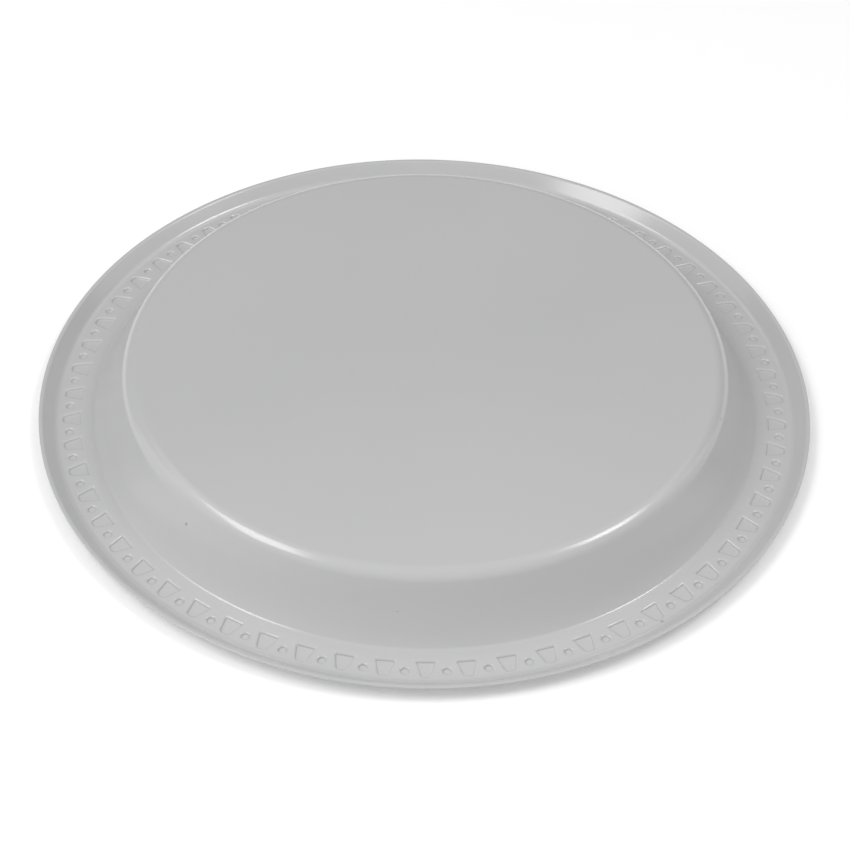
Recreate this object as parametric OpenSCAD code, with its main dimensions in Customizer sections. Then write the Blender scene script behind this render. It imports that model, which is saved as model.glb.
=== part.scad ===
// A round disposable plate, thermoformed from one sheet of white plastic.
// It is modelled face down: the flat underside of the well is on top, and
// the eating side of the rim lies on the surface below. +Z is up, and the
// origin is at the centre of the surface that the plate lies on.
// The section is one chain of flats and bends that touch tangentially. It is
// followed along the underside, from the trimmed edge inwards to the axis,
// and the eating side is the same chain, one sheet thickness below.

/* [Sheet] */
// Thickness of the plastic sheet
sheet = 0.5; // [0.35:0.05:0.6]

/* [Well] */
// Height of the well's underside above the rim's face
well_depth = 18.05; // [14:0.05:24]
// Radius of the bend between the well's floor and its wall
floor_round = 4.5; // [2:0.1:6]
// Slope of the wall where it meets the floor's bend, in degrees
wall_top_slope = 70; // [66:1:76]
// Slope of the wall where it meets the rim, in degrees
wall_foot_slope = 47; // [40:1:56]
// Radius of the crease between the wall and the rim
crease_round = 1.2; // [0.8:0.1:2]

/* [Rim] */
// Diameter over the trimmed edge
outer_d = 228.6; // [210:0.1:260]
// Width of the rim, from the trimmed edge to the crease
rim_w = 15.3; // [14.8:0.1:20]

/* [Lip] */
// Height of the trimmed edge above the rim's face
lip_rise = 3.6; // [3:0.05:4.2]
// Slope of the lip, in degrees
lip_slope = 46; // [43:1:56]
// Radius of the bend between the rim's face and the lip
lip_foot_round = 2.5; // [1.5:0.1:3]
// Radius of the bend between the lip and the flat at its edge
lip_crown_round = 0.9; // [0.8:0.1:1.2]
// Width of the flat left outside the lip where the sheet was trimmed
trim_w = 0.7; // [0.5:0.05:1.1]

/* [Rim pattern] */
// How often the pattern of one wedge and one bead repeats round the rim
repeats = 60; // [40:1:64]
// Depth of the pattern, which is sunk here and stands up on the eating side
emboss_depth = 0.45; // [0.3:0.05:0.55]
// Slope of the pattern's sides, in degrees
emboss_slope = 58; // [45:1:65]
// Plain face between the crease and the wedges
wedge_inner_gap = 3.35; // [2.8:0.05:4]
// Plain face between the wedges and the foot of the lip
wedge_outer_gap = 0.95; // [0.6:0.05:1.4]
// Width of a wedge at its straight inner end
wedge_inner_w = 5.65; // [4.6:0.05:6]
// Width of a wedge at its rounded outer end
wedge_outer_w = 2.8; // [2.5:0.1:3.6]
// Corner radius at the inner end of a wedge
wedge_inner_round = 0.5; // [0.45:0.05:0.8]
// Corner radius at the outer end of a wedge
wedge_outer_round = 1.2; // [0.8:0.1:1.3]
// Diameter of a bead
bead_d = 2.5; // [2:0.1:3]
// Plain face between the beads and the foot of the lip
bead_outer_gap = 1.7; // [1.2:0.05:2]

/* [Hidden] */
$fn = 180;

// Flats that stand in for each bend, for the curve of the wall and for the
// corners of a wedge, and the facets round a bead
bend_steps = 7;
crown_steps = 4;
outer_corner_steps = 3;
inner_corner_steps = 2;
bead_facets = 32;

// How far the pattern's tools run past the face that they start from, and
// the radius that is left in a corner where the sloping sides take it all
overrun = 0.2;
least_corner = 0.05;

// The rim's face, the trimmed edge and the well's floor, on the underside
rim_z = sheet + emboss_depth;
edge_z = rim_z + lip_rise;
floor_z = rim_z + well_depth;

// From the trimmed edge inwards: edge, crown of the lip, foot, crease
edge_r = outer_d / 2;
crown_r = edge_r - trim_w;
lip_bends = (lip_crown_round + lip_foot_round) * (1 - cos(lip_slope));
lip_straight = (lip_rise - lip_bends) / sin(lip_slope);
lip_run = (lip_crown_round + lip_foot_round) * sin(lip_slope) + lip_straight * cos(lip_slope);
foot_r = crown_r - lip_run;
crease_r = edge_r - rim_w;

// The wall is one arc, whose radius follows from the height left for it
wall_rise = well_depth - crease_round * (1 - cos(wall_foot_slope))
    - floor_round * (1 - cos(wall_top_slope));
wall_round = wall_rise / (cos(wall_foot_slope) - cos(wall_top_slope));
wall_foot_r = crease_r - crease_round * sin(wall_foot_slope);
wall_top_r = wall_foot_r - wall_round * (sin(wall_top_slope) - sin(wall_foot_slope));
floor_r = wall_top_r - floor_round * sin(wall_top_slope);

// Outlines of the pattern on the underside of the rim
pitch = 360 / repeats;
wedge_in_r = crease_r + wedge_inner_gap;
wedge_out_r = foot_r - wedge_outer_gap;
wedge_taper = atan((wedge_inner_w - wedge_outer_w) / 2 / (wedge_out_r - wedge_in_r));
bead_r = foot_r - bead_outer_gap - bead_d / 2;

// A parallel face one sheet away lies this much further out on the pattern's sides
sheet_growth = sheet * tan(emboss_slope / 2);

// Points [radius, height, slope] of a bend round a centre, with the slope of
// the face given outwards. A hollow bend has its centre above the sheet, and
// its radius is negative.
function bend(centre, radius, from, to, steps) = [
    for (i = [0 : steps])
        let (slope = from + (to - from) * i / steps)
        [centre.x + radius * sin(slope), centre.y + radius * cos(slope), slope]
];

// The lip, from the trimmed edge to the rim's face
function lip() = concat(
    [[edge_r, edge_z, 0]],
    bend([crown_r, edge_z - lip_crown_round], lip_crown_round, 0, -lip_slope, crown_steps),
    bend([foot_r, rim_z + lip_foot_round], -lip_foot_round, -lip_slope, 0, bend_steps)
);

// The rim's flat face, which carries the pattern
function face() = [[foot_r, rim_z, 0], [crease_r, rim_z, 0]];

// The well, from the rim's face to the axis
function well() = concat(
    bend([crease_r, rim_z + crease_round], -crease_round, 0, wall_foot_slope, bend_steps),
    wall(),
    bend([floor_r, floor_z - floor_round], floor_round, wall_top_slope, 0, bend_steps),
    [[0, floor_z, 0]]
);

// The wall between its two bends, without the points that it shares with them
function wall() = [
    for (i = [1 : bend_steps - 1])
        let (slope = wall_foot_slope + (wall_top_slope - wall_foot_slope) * i / bend_steps)
        [
            wall_foot_r - wall_round * (sin(slope) - sin(wall_foot_slope)),
            rim_z + crease_round * (1 - cos(wall_foot_slope))
                + wall_round * (cos(wall_foot_slope) - cos(slope)),
            slope
        ]
];

// The same chain, moved square to the sheet by a depth
function sunk(path, depth) = [
    for (p = path) [p.x - depth * sin(p.z), p.y - depth * cos(p.z)]
];

function reversed(list) = [for (i = [len(list) - 1 : -1 : 0]) list[i]];

// A ring of plain sheet whose underside follows a chain of points
module formed(path) {
    rotate_extrude()
        polygon(concat(sunk(path, 0), reversed(sunk(path, sheet))));
}

// Points of one rounded corner of a wedge. It lies on the wedge's flank, on
// the side that the sign gives, and is grown by an offset.
function corner(x, round, side, from, to, steps, grown) =
    let (flank = wedge_in_r * sin(wedge_taper) + wedge_inner_w / 2 * cos(wedge_taper))
    let (y = (flank - round - x * sin(wedge_taper)) / cos(wedge_taper))
    let (radius = max(round + grown, least_corner))
    [
        for (i = [0 : steps])
            let (a = from + (to - from) * i / steps)
            [x + radius * cos(a), side * y + radius * sin(a)]
    ];

// A wedge's outline, anticlockwise from the middle of its outer end
function wedge_outline(grown) =
    let (outer_x = wedge_out_r - wedge_outer_round)
    let (inner_x = wedge_in_r + wedge_inner_round)
    let (flank = 90 - wedge_taper)
    concat(
        corner(outer_x, wedge_outer_round, 1, 0, flank, outer_corner_steps, grown),
        corner(inner_x, wedge_inner_round, 1, flank, 180, inner_corner_steps, grown),
        corner(inner_x, wedge_inner_round, -1, 180, 360 - flank, inner_corner_steps, grown),
        corner(outer_x, wedge_outer_round, -1, 360 - flank, 360, outer_corner_steps, grown)
    );

// How far the sloping sides come in over a height
function inset(height) = height / tan(emboss_slope);

// One wedge below the face at face_z, its sides sloping in to its flat end
module wedge(face_z, grown) {
    low = wedge_outline(grown - inset(emboss_depth));
    high = wedge_outline(grown + inset(overrun));
    n = len(low);
    polyhedron(
        points = concat(
            [for (p = low) [p.x, p.y, face_z - emboss_depth]],
            [for (p = high) [p.x, p.y, face_z + overrun]]
        ),
        faces = concat(
            [[for (i = [0 : n - 1]) i]],
            [[for (i = [n - 1 : -1 : 0]) n + i]],
            [for (i = [0 : n - 1]) let (j = (i + 1) % n) [i, n + i, n + j, j]]
        )
    );
}

// One bead below the face at face_z
module bead(face_z, grown) {
    translate([bead_r, 0, face_z - emboss_depth])
        cylinder(
            h = emboss_depth + overrun,
            r1 = bead_d / 2 + grown - inset(emboss_depth),
            r2 = bead_d / 2 + grown + inset(overrun),
            $fn = bead_facets
        );
}

// The ring of wedges and beads below the face at face_z
module pattern(face_z, grown) {
    for (i = [0 : repeats - 1])
        rotate(i * pitch) {
            wedge(face_z, grown);
            rotate(pitch / 2) bead(face_z, grown);
        }
}

// The rim's face. The pattern stands up on the eating side, and is sunk by
// the same amount on the underside, so the sheet keeps its thickness.
module rim_face() {
    difference() {
        union() {
            formed(face());
            pattern(rim_z - sheet, sheet_growth);
        }
        pattern(rim_z, 0);
    }
}

// The whole plate, which is one piece of sheet
module plate() {
    color("whitesmoke")
        union() {
            formed(lip());
            rim_face();
            formed(well());
        }
}

plate();
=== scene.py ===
"""A round disposable plate that lies face down: one thin sheet of glossy white plastic."""
from math import atan, cos, pi, radians, sin, tan

import bmesh
import bpy
from mathutils import Matrix, Vector
from mathutils.geometry import tessellate_polygon


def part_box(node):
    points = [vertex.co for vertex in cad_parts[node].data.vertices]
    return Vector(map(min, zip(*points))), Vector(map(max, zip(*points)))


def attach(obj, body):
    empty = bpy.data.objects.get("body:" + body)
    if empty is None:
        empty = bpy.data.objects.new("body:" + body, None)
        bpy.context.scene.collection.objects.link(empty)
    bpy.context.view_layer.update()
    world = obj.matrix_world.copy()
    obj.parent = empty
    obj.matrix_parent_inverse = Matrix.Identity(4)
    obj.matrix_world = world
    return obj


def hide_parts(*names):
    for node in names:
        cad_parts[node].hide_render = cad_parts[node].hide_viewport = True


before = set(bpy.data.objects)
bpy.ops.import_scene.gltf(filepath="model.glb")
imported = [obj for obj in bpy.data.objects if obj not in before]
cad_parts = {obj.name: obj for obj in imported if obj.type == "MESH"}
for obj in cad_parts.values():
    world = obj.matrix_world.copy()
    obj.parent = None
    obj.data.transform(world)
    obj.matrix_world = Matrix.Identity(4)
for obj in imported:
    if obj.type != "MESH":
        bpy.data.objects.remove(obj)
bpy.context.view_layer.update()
MM = 0.001

# Outer size, from the plate's part in model.glb
_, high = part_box("plate")
EDGE_R = high[0]
FLOOR_Z = high[2]

# The section, as in the part's source. Slopes are in degrees.
SHEET = 0.5 * MM
FLOOR_ROUND = 4.5 * MM
WALL_TOP_SLOPE = 70
WALL_FOOT_SLOPE = 47
CREASE_ROUND = 1.2 * MM
RIM_W = 15.3 * MM
LIP_RISE = 3.6 * MM
LIP_SLOPE = 46
LIP_FOOT_ROUND = 2.5 * MM
LIP_CROWN_ROUND = 0.9 * MM
TRIM_W = 0.7 * MM

# Small rounds that the source leaves out: on the trimmed edge and on the pattern's edges
CUT_ROUND = 0.1 * MM
SHARP = 0.06 * MM

# The rim's pattern. The sizes are those of the flats inside each wedge and bead.
REPEATS = 60
WEDGE_INNER_GAP = 3.65 * MM
WEDGE_OUTER_GAP = 1.23 * MM
WEDGE_INNER_W = 4.94 * MM
WEDGE_OUTER_W = 2.35 * MM
WEDGE_INNER_ROUND = 0.25 * MM
WEDGE_OUTER_ROUND = 0.95 * MM
BEAD_D = 1.9 * MM
BEAD_GAP = 2.93 * MM

# It stands up on the eating side as in the source. The hollows on the underside are drawn
# deeper and steeper than in the source, because they are bold in the photo.
EMBOSS_DEPTH = 0.45 * MM
EMBOSS_SLOPE = radians(58)
HOLLOW_DEPTH = 0.6 * MM
HOLLOW_SLOPE = radians(73)
SHOULDER_ROUND = 0.6 * MM

# Heights and radii that follow from them
RIM_Z = SHEET + EMBOSS_DEPTH
EDGE_Z = RIM_Z + LIP_RISE
CROWN_R = EDGE_R - TRIM_W
LIP_BENDS = (LIP_CROWN_ROUND + LIP_FOOT_ROUND) * (1 - cos(radians(LIP_SLOPE)))
LIP_RUN = ((LIP_CROWN_ROUND + LIP_FOOT_ROUND) * sin(radians(LIP_SLOPE))
           + (LIP_RISE - LIP_BENDS) / tan(radians(LIP_SLOPE)))
FOOT_R = CROWN_R - LIP_RUN
CREASE_R = EDGE_R - RIM_W
WEDGE_IN_R = CREASE_R + WEDGE_INNER_GAP
WEDGE_OUT_R = FOOT_R - WEDGE_OUTER_GAP
BEAD_R = FOOT_R - BEAD_GAP

# Grit on the sheet: azimuth in degrees, radius and width in millimetres
SPECKS = (
    (-136, 91.12, 0.8),
    (-54.2, 108.6, 0.85),
    (-17.4, 88.2, 0.6),
    (-94.7, 92.45, 0.45),
)
SPECK_FLATNESS = 0.35

# How finely the sheet is drawn. The guard is a narrow flat beside each bend that meets a
# flat face, which keeps the shading of that face flat. The shares are rings on the floor.
CELL_STEPS = 5
AROUND = REPEATS * CELL_STEPS
PITCH = 2 * pi / REPEATS
CELL_START = -PITCH / 3
GUARD = 0.12 * MM
FLOOR_SHARES = (0.35, 0.7, 0.97)
FLOOR_BEND_STEPS = 12
WALL_STEPS = 14
RIM_BEND_STEPS = 8
CROWN_STEPS = 6
CUT_STEPS = 3
SIDE_STEPS = 3
UNDER_CORNER_STEPS = 5
UNDER_BEAD_STEPS = 22
OVER_CORNER_STEPS = 4
OVER_BEAD_STEPS = 18
SPECK_SEGMENTS = 14
SPECK_RINGS = 8

# The plastic and the grit
PLASTIC_IOR = 1.55
PLASTIC_SPECULAR = 0.7
PLASTIC_TINTS = ((0.3, (0.497, 0.498, 0.499, 1)), (0.7, (0.513, 0.513, 0.513, 1)))
PLASTIC_ROUGHNESS = (0.15, 0.21)
CLOUD_SCALE = 14
PEEL_SCALE = 260
PEEL_STRENGTH = 0.08
PEEL_DEPTH = 0.05 * MM
GRIT_TINTS = ((0, (0.3, 0.3, 0.305, 1)), (1, (0.4, 0.4, 0.405, 1)))
GRIT_ROUGHNESS = 0.6
GRIT_SCALE = 900

# The camera, solved from the photo's ellipses: the outer edge, the crease, the floor's edge.
# Angles are in degrees, and the sensor's width is in millimetres, as Blender has it.
PHOTO_PX = 850
FOCAL_PX = 1988.3
SENSOR_W = 36
CAMERA_DISTANCE = 594.8 * MM
CAMERA_AZIMUTH = -90.86
CAMERA_ELEVATION = 42.709
CAMERA_ROLL = 1.081
AIM_RIGHT = 0.18 * MM
AIM_NEAR = 16.39 * MM

# The floor, with half its width in metres, and the strength of the light from all round
FLOOR_HALF = 6
FLOOR_GREY = 0.9
FLOOR_GLOW = 0.12
AMBIENT = 0.27

# The dark card: its radius in metres, and its azimuths and elevations in degrees
CARD_R = 2
CARD_START = 25
CARD_END = 155
CARD_FOOT = 8
CARD_TOP = 47
CARD_STEPS = 24
CARD_GREY = 0.02

# The lamps: azimuth, elevation and roll in degrees, width and height in metres, watts, and
# whether the plate mirrors them. Azimuth 0 is +X and 90 is +Y.
LAMP_DISTANCE = 1.2
LAMPS = (
    ("left_key", 190, 58, -32, 0.75, 0.38, 4, True),
    ("right_key", 4, 58, 30, 0.42, 0.26, 2.6, True),
    ("left_fill", 195, 30, 0, 1.8, 1.2, 4.6, False),
    ("right_fill", 0, 30, 0, 1.6, 1.2, 1.6, False),
    ("near_fill", -90, 35, 0, 2, 1.2, 3.7, False),
    ("top_fill", 90, 80, 0, 1.6, 1.6, 5.7, False),
)


def bend(centre_r, centre_z, radius, start, end, steps):
    """Points (radius, height, slope) of a bend. A hollow one has a negative radius."""
    points = []
    for i in range(steps + 1):
        slope = radians(start + (end - start) * i / steps)
        points.append((centre_r + radius * sin(slope), centre_z + radius * cos(slope), slope))
    return points


def well():
    """The underside from the floor outwards to the rim's face."""
    crease = bend(CREASE_R, RIM_Z + CREASE_ROUND, -CREASE_ROUND, WALL_FOOT_SLOPE, 0,
                  RIM_BEND_STEPS)
    foot_r, foot_z, _ = crease[0]
    top_slope, foot_slope = radians(WALL_TOP_SLOPE), radians(WALL_FOOT_SLOPE)
    rise = FLOOR_Z - FLOOR_ROUND * (1 - cos(top_slope)) - foot_z
    wall_round = rise / (cos(foot_slope) - cos(top_slope))
    wall = bend(foot_r + wall_round * sin(foot_slope), foot_z + wall_round * cos(foot_slope),
                -wall_round, WALL_TOP_SLOPE, WALL_FOOT_SLOPE, WALL_STEPS)
    floor_r = wall[0][0] - FLOOR_ROUND * sin(top_slope)
    floor_bend = bend(floor_r, FLOOR_Z - FLOOR_ROUND, FLOOR_ROUND, 0, WALL_TOP_SLOPE,
                      FLOOR_BEND_STEPS)
    flat = [(floor_r * share, FLOOR_Z, 0) for share in FLOOR_SHARES]
    flat.append((floor_r - GUARD, FLOOR_Z, 0))
    return flat + floor_bend + wall[1:] + crease[1:] + [(CREASE_R + GUARD, RIM_Z, 0)]


def lip():
    """The underside from the rim's face outwards to the trimmed edge."""
    foot = bend(FOOT_R, RIM_Z + LIP_FOOT_ROUND, -LIP_FOOT_ROUND, 0, -LIP_SLOPE,
                RIM_BEND_STEPS)
    crown = bend(CROWN_R, EDGE_Z - LIP_CROWN_ROUND, LIP_CROWN_ROUND, -LIP_SLOPE, 0,
                 CROWN_STEPS)
    return [(FOOT_R - GUARD, RIM_Z, 0)] + foot + crown + [(EDGE_R - 2 * CUT_ROUND, EDGE_Z, 0)]


def cut_edge():
    """The trimmed edge, from the underside over its two small rounds."""
    centre_r = EDGE_R - CUT_ROUND
    over = bend(centre_r, EDGE_Z - CUT_ROUND, CUT_ROUND, 0, 90, CUT_STEPS)
    under = bend(centre_r, EDGE_Z - SHEET + CUT_ROUND, CUT_ROUND, 90, 180, CUT_STEPS)
    return over + under


def eating_side(path):
    """The same path one sheet thickness away, followed inwards."""
    return [(r - SHEET * sin(slope), z - SHEET * cos(slope), slope)
            for r, z, slope in reversed(path)]


def wedge_outline(grown, steps):
    """Outline of a wedge's flat, anticlockwise, with its edges moved out by an offset."""
    taper = atan((WEDGE_INNER_W - WEDGE_OUTER_W) / 2 / (WEDGE_OUT_R - WEDGE_IN_R))
    flank = WEDGE_IN_R * sin(taper) + WEDGE_INNER_W / 2 * cos(taper) + grown
    outer_round = WEDGE_OUTER_ROUND + grown
    outer_x = WEDGE_OUT_R + grown - outer_round
    inner_x = WEDGE_IN_R - grown + WEDGE_INNER_ROUND
    turn = pi / 2 - taper
    corners = (
        (outer_x, outer_round, 1, 0, turn),
        (inner_x, WEDGE_INNER_ROUND, 1, turn, pi),
        (inner_x, WEDGE_INNER_ROUND, -1, pi, 2 * pi - turn),
        (outer_x, outer_round, -1, 2 * pi - turn, 2 * pi),
    )
    points = []
    for x, radius, side, start, end in corners:
        y = (flank - radius - x * sin(taper)) / cos(taper)
        for i in range(steps + 1):
            a = start + (end - start) * i / steps
            points.append(Vector((x + radius * cos(a), side * y + radius * sin(a))))
    return points


def bead_outline(grown, steps):
    """Outline of a bead's flat, half a pitch round from the wedge."""
    centre = Vector((BEAD_R * cos(PITCH / 2), BEAD_R * sin(PITCH / 2)))
    radius = BEAD_D / 2 + grown
    return [centre + radius * Vector((cos(2 * pi * i / steps), sin(2 * pi * i / steps)))
            for i in range(steps)]


def side_profile(depth, slope, growth, shoulder, foot):
    """Offsets and drops of the pattern's side, from the face over its shoulder to its foot."""
    half = tan(slope / 2)
    top = growth + depth / tan(slope) + shoulder * half
    low = growth - foot * half
    slopes = [slope * i / SIDE_STEPS for i in range(SIDE_STEPS + 1)]
    over = [(top - shoulder * sin(a), shoulder * (1 - cos(a))) for a in slopes]
    under = [(low + foot * sin(a), depth - foot * (1 - cos(a))) for a in reversed(slopes)]
    return [(top + GUARD, 0)] + over + under + [(low - GUARD / 2, depth)]


class Skin:
    """Vertices and faces of the sheet, made ring by ring."""

    def __init__(self):
        self.verts = []
        self.faces = []

    def add(self, points):
        """New vertices. Returns their numbers."""
        first = len(self.verts)
        self.verts.extend(points)
        return list(range(first, len(self.verts)))

    def ring(self, r, z):
        """One ring round the axis."""
        turns = [CELL_START + 2 * pi * i / AROUND for i in range(AROUND)]
        return self.add([(r * cos(a), r * sin(a), z) for a in turns])

    def strip(self, a, b):
        """Faces between two closed loops of as many points."""
        for i in range(len(a)):
            j = (i + 1) % len(a)
            self.faces.append((a[i], a[j], b[j], b[i]))

    def lathe(self, path, start=None):
        """Rings along a path of (radius, height, slope), joined to a ring before it.

        Returns the first and the last ring.
        """
        rings = [self.ring(r, z) for r, z, _ in path]
        chain = ([start] if start else []) + rings
        for a, b in zip(chain, chain[1:]):
            self.strip(a, b)
        return rings[0], rings[-1]

    def close(self, ring, z):
        """A fan from a ring to the axis."""
        centre = self.add([(0, 0, z)])[0]
        for i in range(len(ring)):
            self.faces.append((ring[i], ring[(i + 1) % len(ring)], centre))

    def pressed(self, outline, profile, turn, face_z, steps):
        """One wedge or bead, sunk below the face. Returns its outermost loop."""
        spin = Matrix.Rotation(turn, 2)
        loops = []
        for grown, drop in profile:
            points = [spin @ p for p in outline(grown, steps)]
            loops.append(self.add([(p.x, p.y, face_z - drop) for p in points]))
        for a, b in zip(loops, loops[1:]):
            self.strip(a, b)
        self.faces.append(tuple(loops[-1]))
        return loops[0]

    def patterned_face(self, inner, outer, face_z, profile, corner_steps, bead_steps):
        """The flat face between two rings, with its wedges and beads pressed in.

        The triangles round the first wedge and bead serve for all the others.
        """
        for cell in range(REPEATS):
            turn = cell * PITCH
            wedge = self.pressed(wedge_outline, profile, turn, face_z, corner_steps)
            bead = self.pressed(bead_outline, profile, turn, face_z, bead_steps)
            span = [(cell * CELL_STEPS + i) % AROUND for i in range(CELL_STEPS + 1)]
            border = [inner[i] for i in span] + [outer[i] for i in reversed(span)]
            loops = [border, wedge, bead]
            index = border + wedge + bead
            if cell == 0:
                flat = [[Vector(self.verts[i]) for i in loop] for loop in loops]
                triangles = tessellate_polygon(flat)
            for a, b, c in triangles:
                self.faces.append((index[a], index[b], index[c]))


def sheet_mesh():
    """The whole sheet as one closed mesh."""
    skin = Skin()
    under_well, under_lip = well(), lip()
    under = side_profile(HOLLOW_DEPTH, HOLLOW_SLOPE, 0, SHOULDER_ROUND, SHARP)
    over = side_profile(EMBOSS_DEPTH, EMBOSS_SLOPE, SHEET * tan(EMBOSS_SLOPE / 2),
                        SHARP, SHEET + SHARP)

    floor, crease = skin.lathe(under_well)
    skin.close(floor, FLOOR_Z)
    foot, edge = skin.lathe(under_lip)
    skin.patterned_face(crease, foot, RIM_Z, under, UNDER_CORNER_STEPS, UNDER_BEAD_STEPS)
    _, edge = skin.lathe(cut_edge(), edge)
    _, foot = skin.lathe(eating_side(under_lip), edge)
    crease, floor = skin.lathe(eating_side(under_well))
    skin.patterned_face(crease, foot, RIM_Z - SHEET, over, OVER_CORNER_STEPS, OVER_BEAD_STEPS)
    skin.close(floor, FLOOR_Z - SHEET)

    mesh = bpy.data.meshes.new("plate_sheet")
    mesh.from_pydata(skin.verts, [], skin.faces)
    made = bmesh.new()
    made.from_mesh(mesh)
    bmesh.ops.recalc_face_normals(made, faces=made.faces)
    made.to_mesh(mesh)
    made.free()
    mesh.shade_smooth()
    return mesh


def surface(path, r):
    """Height and outward slope of a lathed path at a radius."""
    for (r0, z0, _), (r1, z1, _) in zip(path, path[1:]):
        if r0 <= r <= r1:
            share = (r - r0) / (r1 - r0)
            return z0 + (z1 - z0) * share, atan((z0 - z1) / (r1 - r0))
    raise ValueError("no surface at this radius")


def specks_mesh():
    """Grit that stuck to the sheet: low round grains, half sunk in its surface."""
    made = bmesh.new()
    path = well() + [(FOOT_R, RIM_Z, 0)]
    for azimuth, r, wide in SPECKS:
        z, slope = surface(path, r * MM)
        place = (Matrix.Rotation(radians(azimuth), 4, "Z")
                 @ Matrix.Translation((r * MM, 0, z)) @ Matrix.Rotation(slope, 4, "Y")
                 @ Matrix.Diagonal((1, 1, SPECK_FLATNESS, 1)))
        bmesh.ops.create_uvsphere(made, u_segments=SPECK_SEGMENTS, v_segments=SPECK_RINGS,
                                  radius=wide * MM / 2, matrix=place)
    mesh = bpy.data.meshes.new("specks")
    made.to_mesh(mesh)
    made.free()
    mesh.shade_smooth()
    return mesh


def nodes_of(holder):
    """An empty node tree."""
    holder.use_nodes = True
    holder.node_tree.nodes.clear()
    return holder.node_tree.nodes, holder.node_tree.links


def new_material(name):
    """A material with an empty node tree but for its output."""
    material = bpy.data.materials.new(name)
    nodes, links = nodes_of(material)
    return material, nodes, links, nodes.new("ShaderNodeOutputMaterial")


def noise(nodes, links, scale, detail):
    """Noise that is fixed to the object."""
    place = nodes.new("ShaderNodeTexCoord")
    texture = nodes.new("ShaderNodeTexNoise")
    texture.inputs["Scale"].default_value = scale
    texture.inputs["Detail"].default_value = detail
    links.new(place.outputs["Object"], texture.inputs["Vector"])
    return texture.outputs["Fac"]


def tinted(nodes, links, factor, stops):
    """A colour that runs between two stops, each of them a position and a colour."""
    ramp = nodes.new("ShaderNodeValToRGB")
    for element, (position, color) in zip(ramp.color_ramp.elements, stops):
        element.position = position
        element.color = color
    links.new(factor, ramp.inputs["Fac"])
    return ramp.outputs["Color"]


def matt(nodes, grey):
    """A matt shader of one grey, for what stands round the plate."""
    shader = nodes.new("ShaderNodeBsdfDiffuse")
    shader.inputs["Color"].default_value = (grey, grey, grey, 1)
    return shader


def white_plastic():
    """Glossy formed plastic: a light grey white with faint clouding and a soft orange peel."""
    material, nodes, links, output = new_material("white_plastic")
    plastic = nodes.new("ShaderNodeBsdfPrincipled")
    plastic.inputs["IOR"].default_value = PLASTIC_IOR
    plastic.inputs["Specular IOR Level"].default_value = PLASTIC_SPECULAR
    links.new(plastic.outputs["BSDF"], output.inputs["Surface"])

    clouds = noise(nodes, links, CLOUD_SCALE, 3)
    links.new(tinted(nodes, links, clouds, PLASTIC_TINTS), plastic.inputs["Base Color"])

    gloss = nodes.new("ShaderNodeMapRange")
    gloss.inputs["To Min"].default_value = PLASTIC_ROUGHNESS[0]
    gloss.inputs["To Max"].default_value = PLASTIC_ROUGHNESS[1]
    links.new(clouds, gloss.inputs["Value"])
    links.new(gloss.outputs["Result"], plastic.inputs["Roughness"])

    bump = nodes.new("ShaderNodeBump")
    bump.inputs["Strength"].default_value = PEEL_STRENGTH
    bump.inputs["Distance"].default_value = PEEL_DEPTH
    links.new(noise(nodes, links, PEEL_SCALE, 2), bump.inputs["Height"])
    links.new(bump.outputs["Normal"], plastic.inputs["Normal"])
    return material


def speck_grey():
    """Matt grey grit, lighter and darker from grain to grain."""
    material, nodes, links, output = new_material("speck_grey")
    grit = nodes.new("ShaderNodeBsdfPrincipled")
    grit.inputs["Roughness"].default_value = GRIT_ROUGHNESS
    links.new(grit.outputs["BSDF"], output.inputs["Surface"])
    grain = noise(nodes, links, GRIT_SCALE, 2)
    links.new(tinted(nodes, links, grain, GRIT_TINTS), grit.inputs["Base Color"])
    return material


def seen_rays(nodes, links):
    """1 where the camera sees the surface, also in a reflection or through something clear."""
    path = nodes.new("ShaderNodeLightPath")
    seen = nodes.new("ShaderNodeMath")
    seen.operation = "MAXIMUM"
    links.new(path.outputs["Is Camera Ray"], seen.inputs[0])
    links.new(path.outputs["Is Glossy Ray"], seen.inputs[1])
    through = nodes.new("ShaderNodeMath")
    through.operation = "MAXIMUM"
    links.new(seen.outputs["Value"], through.inputs[0])
    links.new(path.outputs["Is Transmission Ray"], through.inputs[1])
    return through.outputs["Value"]


def add_object(name, data):
    """A new object in the scene."""
    thing = bpy.data.objects.new(name, data)
    bpy.context.collection.objects.link(thing)
    return thing


def white_floor():
    """A wide matt white floor. It is lifted to white for the eye, and keeps its shadows."""
    half = FLOOR_HALF
    mesh = bpy.data.meshes.new("floor")
    corners = [(-half, -half, 0), (half, -half, 0), (half, half, 0), (-half, half, 0)]
    mesh.from_pydata(corners, [], [(0, 1, 2, 3)])
    floor = add_object("floor", mesh)
    material, nodes, links, output = new_material("floor_white")
    glow = nodes.new("ShaderNodeEmission")
    glow.inputs["Color"].default_value = (FLOOR_GLOW, FLOOR_GLOW, FLOOR_GLOW, 1)
    links.new(seen_rays(nodes, links), glow.inputs["Strength"])
    both = nodes.new("ShaderNodeAddShader")
    links.new(matt(nodes, FLOOR_GREY).outputs["BSDF"], both.inputs[0])
    links.new(glow.outputs["Emission"], both.inputs[1])
    links.new(both.outputs["Shader"], output.inputs["Surface"])
    mesh.materials.append(material)


def sky():
    """Soft light from all round. The camera and reflections see it at full strength."""
    world = bpy.data.worlds.new("studio")
    bpy.context.scene.world = world
    nodes, links = nodes_of(world)
    output = nodes.new("ShaderNodeOutputWorld")
    light = nodes.new("ShaderNodeBackground")
    light.inputs["Strength"].default_value = AMBIENT
    white = nodes.new("ShaderNodeBackground")
    white.inputs["Strength"].default_value = 1
    mix = nodes.new("ShaderNodeMixShader")
    links.new(seen_rays(nodes, links), mix.inputs["Fac"])
    links.new(light.outputs["Background"], mix.inputs[1])
    links.new(white.outputs["Background"], mix.inputs[2])
    links.new(mix.outputs["Shader"], output.inputs["Surface"])


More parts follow.
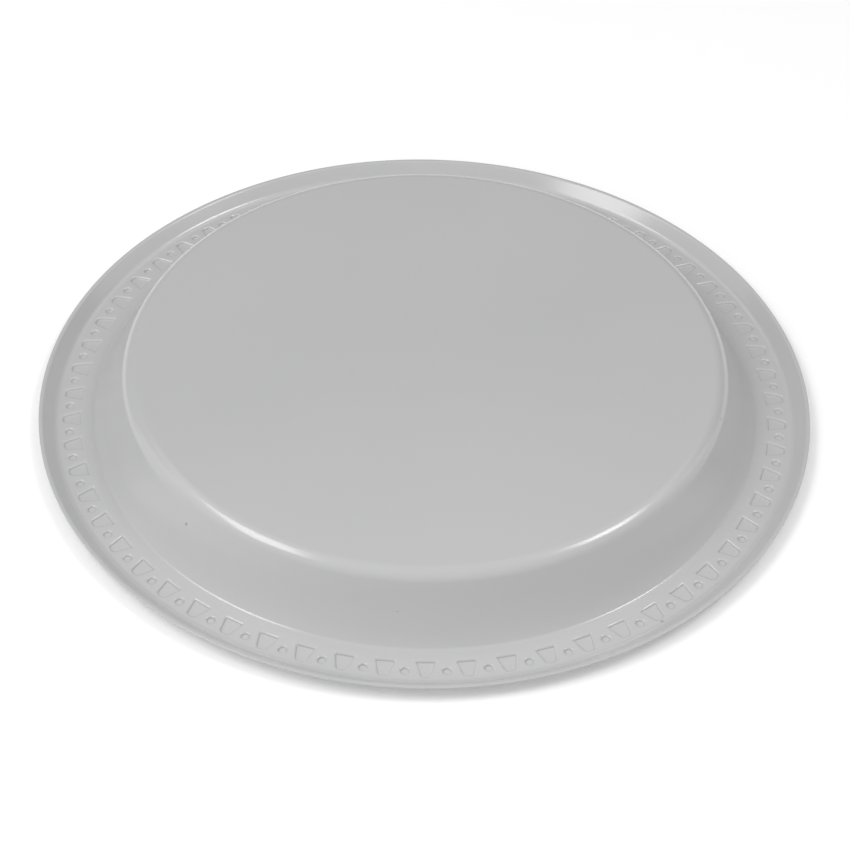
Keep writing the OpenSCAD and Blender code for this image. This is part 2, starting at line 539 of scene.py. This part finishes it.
def dark_card():
    """A dark curved card on the far side, which holds back the light from there."""
    turns = [radians(CARD_START + (CARD_END - CARD_START) * i / CARD_STEPS)
             for i in range(CARD_STEPS + 1)]
    heights = [CARD_R * tan(radians(e)) for e in (CARD_FOOT, CARD_TOP)]
    points = [(CARD_R * cos(a), CARD_R * sin(a), z) for z in heights for a in turns]
    across = len(turns)
    faces = [(i, i + 1, across + i + 1, across + i) for i in range(CARD_STEPS)]
    mesh = bpy.data.meshes.new("dark_card")
    mesh.from_pydata(points, [], faces)
    card = add_object("dark_card", mesh)
    material, nodes, links, output = new_material("card_black")
    links.new(matt(nodes, CARD_GREY).outputs["BSDF"], output.inputs["Surface"])
    mesh.materials.append(material)
    card.visible_camera = False


def softbox(name, azimuth, elevation, roll, wide, tall, watts, mirrored):
    """A soft light that faces the plate's centre, and may stay out of its reflections."""
    a, e = radians(azimuth), radians(elevation)
    towards = Vector((cos(a) * cos(e), sin(a) * cos(e), sin(e)))
    data = bpy.data.lights.new(name, "AREA")
    data.shape = "RECTANGLE"
    data.size = wide
    data.size_y = tall
    data.energy = watts
    lamp = add_object(name, data)
    facing = towards.to_track_quat("Z", "Y").to_matrix() @ Matrix.Rotation(radians(roll), 3, "Z")
    lamp.matrix_world = Matrix.Translation(towards * LAMP_DISTANCE) @ facing.to_4x4()
    lamp.visible_glossy = mirrored


def photo_camera():
    """The camera that shows the plate's circles as the photo does."""
    data = bpy.data.cameras.new("camera")
    data.sensor_width = SENSOR_W
    data.lens = FOCAL_PX / PHOTO_PX * data.sensor_width
    camera = add_object("camera", data)
    a, e = radians(CAMERA_AZIMUTH), radians(CAMERA_ELEVATION)
    target = Vector((0, 0, EDGE_Z))
    place = target + CAMERA_DISTANCE * Vector((cos(a) * cos(e), sin(a) * cos(e), sin(e)))
    aim = target + Vector((-sin(a) * AIM_RIGHT + cos(a) * AIM_NEAR,
                           cos(a) * AIM_RIGHT + sin(a) * AIM_NEAR, 0))
    turn = (aim - place).to_track_quat("-Z", "Y").to_matrix()
    turn = turn @ Matrix.Rotation(radians(CAMERA_ROLL), 3, "Z")
    camera.matrix_world = Matrix.Translation(place) @ turn.to_4x4()
    bpy.context.scene.camera = camera


plate = add_object("plate_sheet", sheet_mesh())
plate.data.materials.append(white_plastic())
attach(plate, "root")
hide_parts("plate")

specks = add_object("specks", specks_mesh())
specks.data.materials.append(speck_grey())
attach(specks, "root")

white_floor()
sky()
dark_card()
for lamp in LAMPS:
    softbox(*lamp)
photo_camera()
bpy.context.scene.view_settings.view_transform = "Standard"
